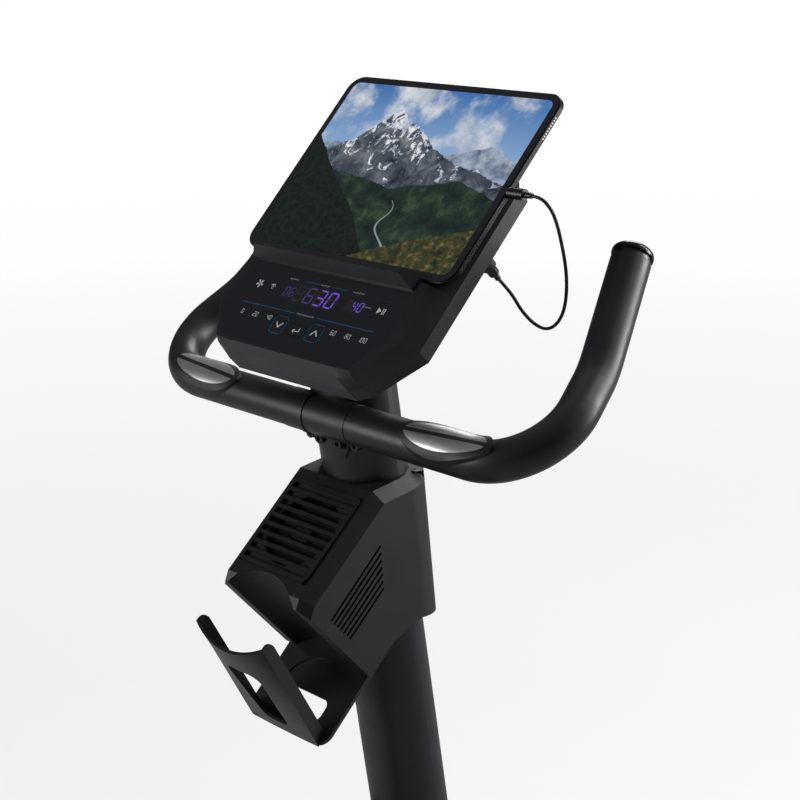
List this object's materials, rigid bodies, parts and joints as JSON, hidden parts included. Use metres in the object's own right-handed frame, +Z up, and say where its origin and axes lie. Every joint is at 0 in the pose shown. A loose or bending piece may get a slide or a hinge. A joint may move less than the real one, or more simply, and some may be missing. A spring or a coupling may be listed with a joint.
{
  "type": "exercise bike",
  "caption": "Upright exercise bike with a leaning mast, bent handlebar with pulse grips, console and tablet, fan housing, bottle holder and adjustable saddle.",
  "frame": {"origin": "centre of the footprint, on the floor", "axes": "+X towards the rider's right hand, +Y forward, +Z up"},
  "size_m": [0.5422, 1.124, 1.3826],
  "materials": {
    "frame_paint": "satin powder coat",
    "trim_plastic": "fine matte",
    "wheel_plastic": "matte",
    "foot_rubber": "matte",
    "shroud_plastic": "fine texture",
    "machined_steel": "machined",
    "pulley_aluminium": "turned",
    "crank_paint": "satin",
    "strap_rubber": "matte",
    "belt_rubber": "matte",
    "flywheel_iron": "painted",
    "post_chrome": "polished",
    "saddle_cover": "vinyl, matte",
    "mast_paint": "satin",
    "housing_plastic": "fine texture",
    "grille_plastic": "matte",
    "holder_plastic": "semi gloss",
    "bar_paint": "satin",
    "clamp_plastic": "fine matte",
    "bolt_steel": "black oxide",
    "grip_rubber": "soft sheen",
    "pad_steel": "brushed",
    "cap_plastic": "semi gloss",
    "console_plastic": "satin",
    "band_plastic": "textured",
    "overlay_gloss": "gloss",
    "key_gloss": "gloss",
    "tablet_aluminium": "satin",
    "lead_jacket": "soft sheen",
    "plug_plastic": "matte",
    "board_green": "matte"
  },
  "bodies": {
    "root": {"front_stabilizer": "frame_paint", "rear_stabilizer": "frame_paint", "stabilizer_end_caps": "trim_plastic", "base_frame": "frame_paint", "shroud_left": "shroud_plastic", "shroud_right": "shroud_plastic", "bearings": "machined_steel", "drive_belt": "belt_rubber", "idler_arm": "machined_steel", "brake_motor": "trim_plastic", "seat_bushing": "trim_plastic", "mast": "mast_paint", "fan_housing": "housing_plastic", "fan_rear_cover": "housing_plastic", "fan_grille": "grille_plastic", "fan_motor": "trim_plastic", "bottle_holder": "holder_plastic", "handlebar": "bar_paint", "handlebar_clamp": "clamp_plastic", "clamp_bolts": "bolt_steel", "grips": "grip_rubber", "pulse_housings": "trim_plastic", "pulse_pads": "pad_steel", "bar_end_caps": "cap_plastic", "console_front": "console_plastic", "console_rear": "band_plastic", "console_overlay": "overlay_gloss", "tablet": "tablet_aluminium", "charge_lead": "lead_jacket", "lead_plugs": "plug_plastic", "power_inlet": "trim_plastic", "console_board": "board_green"},
    "crank": {"crank_axle": "machined_steel", "drive_pulley": "pulley_aluminium", "crank_arm_left": "crank_paint", "crank_arm_right": "crank_paint", "pedal_spindles": "machined_steel"},
    "pedal_left": {"pedal_left": "trim_plastic", "pedal_strap_left": "strap_rubber"},
    "pedal_right": {"pedal_right": "trim_plastic", "pedal_strap_right": "strap_rubber"},
    "flywheel": {"flywheel": "flywheel_iron", "flywheel_axle": "machined_steel"},
    "idler": {"idler_pulley": "pulley_aluminium"},
    "brake_arm": {"brake_arm": "machined_steel"},
    "seat_post": {"seat_post": "post_chrome"},
    "seat_carriage": {"seat_carriage": "trim_plastic", "saddle_base": "trim_plastic", "saddle_pad": "saddle_cover"},
    "seat_knob": {"seat_knob": "trim_plastic"},
    "height_pin": {"height_pin": "trim_plastic"},
    "fan": {"fan_rotor": "trim_plastic"},
    "wheel_left": {"transport_wheel_left": "wheel_plastic"},
    "wheel_right": {"transport_wheel_right": "wheel_plastic"},
    "foot_left": {"levelling_foot_left": "foot_rubber"},
    "foot_right": {"levelling_foot_right": "foot_rubber"},
    "key_down": {"key_down": "key_gloss"},
    "key_up": {"key_up": "key_gloss"},
    "key_enter": {"key_enter": "key_gloss"},
    "key_start_stop": {"key_start_stop": "key_gloss"}
  },
  "joints": [
    {"name": "crank_spin", "type": "hinge", "parent": "root", "child": "crank", "pos_m": [0, -0.03, 0.3], "axis": [-1, 0, 0], "continuous": true},
    {"name": "pedal_left_spin", "type": "hinge", "parent": "crank", "child": "pedal_left", "pos_m": [-0.142, -0.16926, 0.39751], "axis": [1, 0, 0], "continuous": true},
    {"name": "pedal_right_spin", "type": "hinge", "parent": "crank", "child": "pedal_right", "pos_m": [0.142, 0.10926, 0.20249], "axis": [1, 0, 0], "continuous": true},
    {"name": "flywheel_spin", "type": "hinge", "parent": "root", "child": "flywheel", "pos_m": [0, 0.23, 0.29], "axis": [-1, 0, 0], "continuous": true},
    {"name": "idler_spin", "type": "hinge", "parent": "root", "child": "idler", "pos_m": [0.046, 0.14, 0.245], "axis": [-1, 0, 0], "continuous": true},
    {"name": "brake_arm_swing", "type": "hinge", "parent": "root", "child": "brake_arm", "pos_m": [0, 0.207, 0.438], "axis": [1, 0, 0], "range_deg": [0, 9]},
    {"name": "seat_height", "type": "slide", "parent": "root", "child": "seat_post", "axis": [0, -0.2756, 0.9613], "range_m": [-0.09, 0.11]},
    {"name": "seat_fore_aft", "type": "slide", "parent": "seat_post", "child": "seat_carriage", "axis": [0, 1, 0], "range_m": [-0.045, 0.045]},
    {"name": "seat_knob_turn", "type": "hinge", "parent": "seat_carriage", "child": "seat_knob", "pos_m": [0, -0.29295, 0.78888], "axis": [1, 0, 0], "continuous": true},
    {"name": "height_pin_pull", "type": "slide", "parent": "root", "child": "height_pin", "axis": [0, -0.9613, -0.2756], "range_m": [0, 0.009], "stiffness_N_per_m": 1200, "springref_m": -0.004},
    {"name": "fan_spin", "type": "hinge", "parent": "root", "child": "fan", "pos_m": [0, 0.201, 0.985], "axis": [0, -0.6521, 0.7581], "continuous": true},
    {"name": "wheel_left_spin", "type": "hinge", "parent": "root", "child": "wheel_left", "pos_m": [-0.244, 0.538, 0.03], "axis": [1, 0, 0], "continuous": true},
    {"name": "wheel_right_spin", "type": "hinge", "parent": "root", "child": "wheel_right", "pos_m": [0.244, 0.538, 0.03], "axis": [1, 0, 0], "continuous": true},
    {"name": "foot_left_level", "type": "slide", "parent": "root", "child": "foot_left", "axis": [0, 0, 1], "range_m": [0, 0.008]},
    {"name": "foot_right_level", "type": "slide", "parent": "root", "child": "foot_right", "axis": [0, 0, 1], "range_m": [0, 0.008]},
    {"name": "key_down_press", "type": "slide", "parent": "root", "child": "key_down", "axis": [0, 0.7125, -0.7017], "range_m": [0, 0.0005], "stiffness_N_per_m": 800, "springref_m": -0.0005},
    {"name": "key_up_press", "type": "slide", "parent": "root", "child": "key_up", "axis": [0, 0.7125, -0.7017], "range_m": [0, 0.0005], "stiffness_N_per_m": 800, "springref_m": -0.0005},
    {"name": "key_enter_press", "type": "slide", "parent": "root", "child": "key_enter", "axis": [0, 0.7125, -0.7017], "range_m": [0, 0.0005], "stiffness_N_per_m": 800, "springref_m": -0.0005},
    {"name": "key_start_stop_press", "type": "slide", "parent": "root", "child": "key_start_stop", "axis": [0, 0.7125, -0.7017], "range_m": [0, 0.0005], "stiffness_N_per_m": 800, "springref_m": -0.0005}
  ],
  "couplings": [
    {"joint": "flywheel_spin", "follows": "crank_spin", "ratio": 8.4286},
    {"joint": "idler_spin", "follows": "crank_spin", "ratio": 5.3636}
  ]
}
